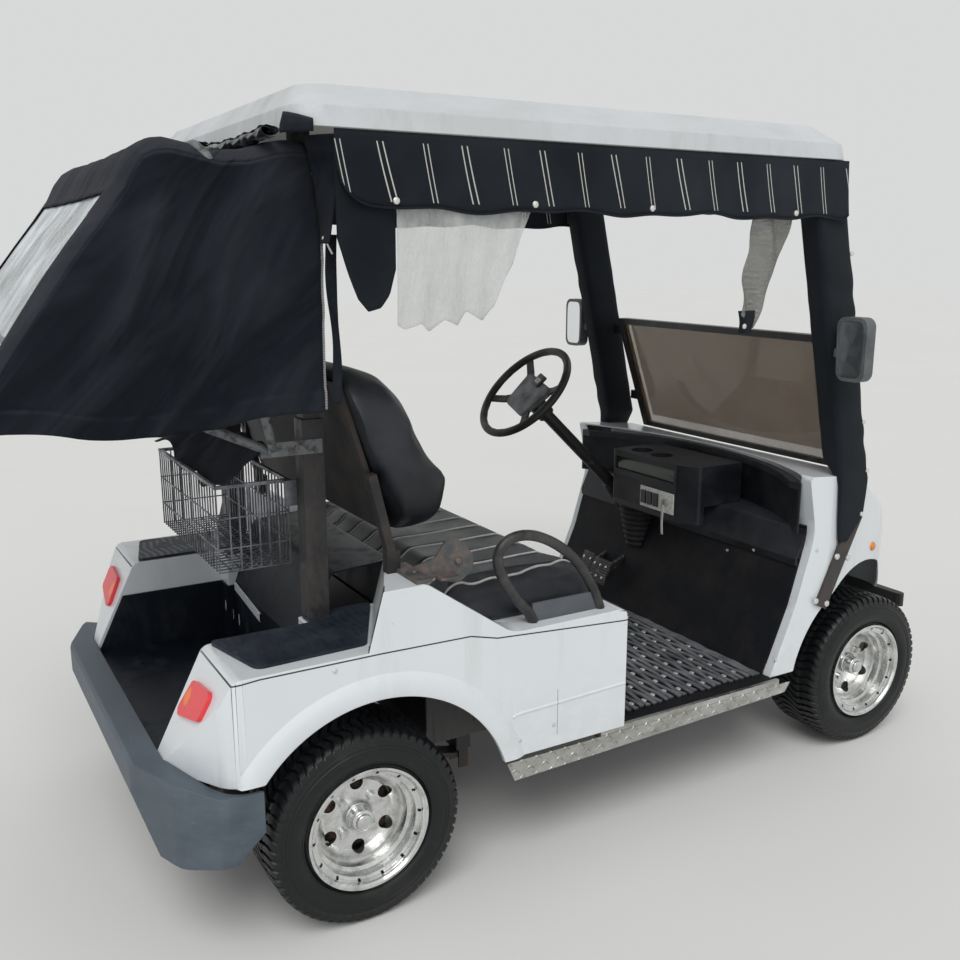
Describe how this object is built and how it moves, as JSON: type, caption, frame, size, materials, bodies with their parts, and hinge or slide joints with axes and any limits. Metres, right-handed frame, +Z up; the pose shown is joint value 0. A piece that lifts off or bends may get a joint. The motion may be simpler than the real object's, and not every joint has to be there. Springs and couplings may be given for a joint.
{
  "type": "golf cart",
  "caption": "Two-seat electric golf cart with a canopy, rear bag well under a fabric cover, folding windshield, steered front wheels and a hinged seat over the batteries.",
  "frame": {"origin": "on the ground under the middle of the bounding box", "axes": "+X forward, +Y to the driver's left, +Z up"},
  "size_m": [2.69, 1.345, 1.7899],
  "materials": {
    "tyre_rubber": "worn black rubber",
    "polished_rim": "polished, a little dull",
    "cast_steel": "dirty cast steel",
    "frame_paint": "black frame paint with rust",
    "battery_plastic": "black, dusty",
    "white_body": "glossy off-white, lightly soiled",
    "liner_black": "textured black",
    "pad_black": "ribbed blue-black",
    "lamp_red": "clear red lens",
    "bumper_grey": "faded blue-grey",
    "bumper_black": "matte black",
    "lamp_clear": "clear lens",
    "floor_board": "charcoal",
    "mat_link": "worn grey-brown strips",
    "diamond_plate": "aged diamond plate",
    "dash_black": "satin black",
    "switch_white": "off-white plate",
    "pedal_black": "studded black",
    "vinyl_black": "black vinyl with pale piping",
    "bracket_steel": "grey paint, rusty",
    "grip_tube": "black tube",
    "roof_white": "glossy white",
    "strut_steel": "black paint",
    "sleeve_fabric": "black canvas",
    "clear_vinyl": "hazy clear vinyl",
    "pane_tint": "amber-brown tint",
    "shield_frame": "dark anodised",
    "mirror_grey": "grey housing",
    "basket_wire": "black coated wire",
    "column_black": "black",
    "wheel_black": "padded black"
  },
  "bodies": {
    "chassis": {"frame_rails": "frame_paint", "leaf_springs": "frame_paint", "rear_axle": "frame_paint", "motor": "frame_paint", "front_axle": "frame_paint", "batteries": "battery_plastic", "rear_body": "white_body", "bag_well": "liner_black", "step_pads": "pad_black", "tail_lamps": "lamp_red", "rear_bumper": "bumper_grey", "front_cowl": "white_body", "front_bumper": "bumper_black", "headlamps": "lamp_clear", "floor_pan": "floor_board", "floor_mat": "mat_link", "rocker_panels": "diamond_plate", "dash": "dash_black", "console": "dash_black", "switch_plate": "switch_white", "pedals": "pedal_black", "seat_back": "vinyl_black", "seat_frame": "bracket_steel", "seat_hinges": "bracket_steel", "hip_restraints": "grip_tube", "roof": "roof_white", "roof_struts": "strut_steel", "strut_sleeves": "sleeve_fabric", "valance": "sleeve_fabric", "side_curtain": "sleeve_fabric", "windshield_panes": "pane_tint", "windshield_frame": "shield_frame", "mirrors": "mirror_grey", "bag_cover": "sleeve_fabric", "cover_window": "clear_vinyl", "cover_bows": "bracket_steel", "basket": "basket_wire", "steering_column": "column_black"},
    "wheel_rear_left": {"tyre_rear_left": "tyre_rubber", "rim_rear_left": "polished_rim", "drum_left": "cast_steel"},
    "wheel_rear_right": {"tyre_rear_right": "tyre_rubber", "rim_rear_right": "polished_rim", "drum_right": "cast_steel"},
    "wheel_front_left": {"tyre_front_left": "tyre_rubber", "rim_front_left": "polished_rim", "hub_left": "cast_steel"},
    "wheel_front_right": {"tyre_front_right": "tyre_rubber", "rim_front_right": "polished_rim", "hub_right": "cast_steel"},
    "steering_knuckle_left": {"knuckle_left": "cast_steel"},
    "steering_knuckle_right": {"knuckle_right": "cast_steel"},
    "steering_tie_rod": {"tie_rod": "cast_steel"},
    "steering_hand_wheel": {"steering_wheel": "wheel_black"},
    "seat_lid": {"seat_cushion": "vinyl_black"}
  },
  "joints": [
    {"name": "roll_rear_left", "type": "hinge", "parent": "chassis", "child": "wheel_rear_left", "pos_m": [-0.645, 0.48, 0.23], "axis": [0, 1, 0], "continuous": true},
    {"name": "roll_rear_right", "type": "hinge", "parent": "chassis", "child": "wheel_rear_right", "pos_m": [-0.645, -0.48, 0.23], "axis": [0, 1, 0], "continuous": true},
    {"name": "roll_front_left", "type": "hinge", "parent": "steering_knuckle_left", "child": "wheel_front_left", "pos_m": [1.019, 0.44, 0.23], "axis": [0, 1, 0], "continuous": true},
    {"name": "roll_front_right", "type": "hinge", "parent": "steering_knuckle_right", "child": "wheel_front_right", "pos_m": [1.019, -0.44, 0.23], "axis": [0, 1, 0], "continuous": true},
    {"name": "steer_left", "type": "hinge", "parent": "chassis", "child": "steering_knuckle_left", "pos_m": [1.019, 0.31, 0.23], "axis": [0, 0, 1], "range_deg": [-30, 30]},
    {"name": "steer_right", "type": "hinge", "parent": "chassis", "child": "steering_knuckle_right", "pos_m": [1.019, -0.31, 0.23], "axis": [0, 0, 1], "range_deg": [-30, 30]},
    {"name": "tie_rod_swing", "type": "hinge", "parent": "steering_knuckle_left", "child": "steering_tie_rod", "pos_m": [0.899, 0.31, 0.183], "axis": [0, 0, 1], "range_deg": [-30, 30]},
    {"name": "hand_wheel_turn", "type": "hinge", "parent": "chassis", "child": "steering_hand_wheel", "pos_m": [0.655, 0.28, 0.702], "axis": [-0.7254, 0, 0.6884], "range_deg": [-360, 360]},
    {"name": "seat_lid_tilt", "type": "hinge", "parent": "chassis", "child": "seat_lid", "pos_m": [0.047, 0, 0.6223], "axis": [0, 1, 0], "range_deg": [0, 80]}
  ],
  "couplings": [
    {"joint": "steer_right", "follows": "steer_left", "ratio": 1},
    {"joint": "tie_rod_swing", "follows": "steer_left", "ratio": -1},
    {"joint": "hand_wheel_turn", "follows": "steer_left", "ratio": 12}
  ]
}
